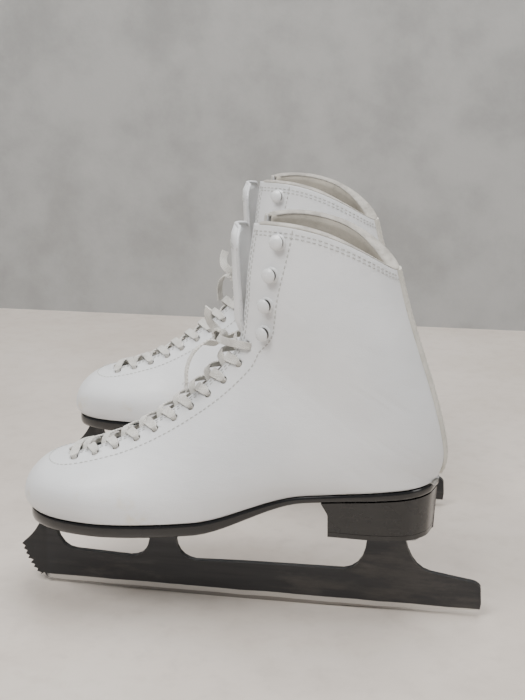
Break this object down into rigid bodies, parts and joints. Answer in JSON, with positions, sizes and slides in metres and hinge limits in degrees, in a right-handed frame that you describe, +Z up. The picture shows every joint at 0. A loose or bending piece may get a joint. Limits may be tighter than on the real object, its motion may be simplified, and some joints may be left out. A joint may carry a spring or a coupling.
{
  "type": "ice skates",
  "caption": "Laced white leather figure skates with toe-pick blades on black lacquered soles and heels; the tongue tops fold forwards.",
  "frame": {"origin": "middle of the pair's bounding box, on the ground under the blades", "axes": "+X towards the heels, so toes point to -X; +Y from the left skate to the right skate; +Z up"},
  "size_m": [0.3178, 0.2674, 0.2396],
  "materials": {
    "white_leather": "smooth white leather with a slight gloss",
    "inner_leather": "soft beige lining leather",
    "strip_leather": "matte beige-white strip",
    "sole_leather": "glossy black lacquer",
    "heel_lacquer": "glossy black lacquer over a stacked heel",
    "heel_rubber": "black",
    "board": "pressed fibre board",
    "felt": "felt",
    "blade_steel": "dark, worn, ground bright along the edge",
    "plate_steel": "satin",
    "screw_steel": "satin",
    "enamel": "white enamel",
    "woven_lace": "off-white woven cotton"
  },
  "bodies": {
    "left_skate": {"left_runner": "blade_steel", "left_sole_plate": "plate_steel", "left_heel_plate": "plate_steel", "left_outsole": "sole_leather", "left_heel": "heel_lacquer", "left_heel_lift": "heel_rubber", "left_shank": "plate_steel", "left_insole": "board", "left_footbed": "felt", "left_upper": "white_leather", "left_heel_counter": "board", "left_lining": "inner_leather", "left_backstay": "strip_leather", "left_tongue": "white_leather", "left_lace": "woven_lace", "left_sole_screw_1": "screw_steel", "left_sole_screw_2": "screw_steel", "left_sole_screw_3": "screw_steel", "left_sole_screw_4": "screw_steel", "left_heel_screw_1": "screw_steel", "left_heel_screw_2": "screw_steel", "left_hook_outer_1": "enamel", "left_hook_outer_2": "enamel", "left_hook_outer_3": "enamel", "left_hook_outer_4": "enamel", "left_hook_inner_1": "enamel", "left_hook_inner_2": "enamel", "left_hook_inner_3": "enamel", "left_hook_inner_4": "enamel"},
    "left_tongue": {"left_tongue_top": "white_leather"},
    "right_skate": {"right_runner": "blade_steel", "right_sole_plate": "plate_steel", "right_heel_plate": "plate_steel", "right_outsole": "sole_leather", "right_heel": "heel_lacquer", "right_heel_lift": "heel_rubber", "right_shank": "plate_steel", "right_insole": "board", "right_footbed": "felt", "right_upper": "white_leather", "right_heel_counter": "board", "right_lining": "inner_leather", "right_backstay": "strip_leather", "right_tongue": "white_leather", "right_lace": "woven_lace", "right_sole_screw_1": "screw_steel", "right_sole_screw_2": "screw_steel", "right_sole_screw_3": "screw_steel", "right_sole_screw_4": "screw_steel", "right_heel_screw_1": "screw_steel", "right_heel_screw_2": "screw_steel", "right_hook_outer_1": "enamel", "right_hook_outer_2": "enamel", "right_hook_outer_3": "enamel", "right_hook_outer_4": "enamel", "right_hook_inner_1": "enamel", "right_hook_inner_2": "enamel", "right_hook_inner_3": "enamel", "right_hook_inner_4": "enamel"},
    "right_tongue": {"right_tongue_top": "white_leather"}
  },
  "joints": [
    {"name": "left_tongue_fold", "type": "hinge", "parent": "left_skate", "child": "left_tongue", "pos_m": [0.00994, -0.09119, 0.173], "axis": [0, -1, 0], "range_deg": [0, 38]},
    {"name": "right_tongue_fold", "type": "hinge", "parent": "right_skate", "child": "right_tongue", "pos_m": [-0.01806, 0.08695, 0.173], "axis": [-0.0576, -0.9983, 0], "range_deg": [0, 38]},
    {"name": "right_skate_lift", "type": "slide", "parent": "left_skate", "child": "right_skate", "axis": [0, 0, 1], "range_m": [0, 0.3]}
  ]
}
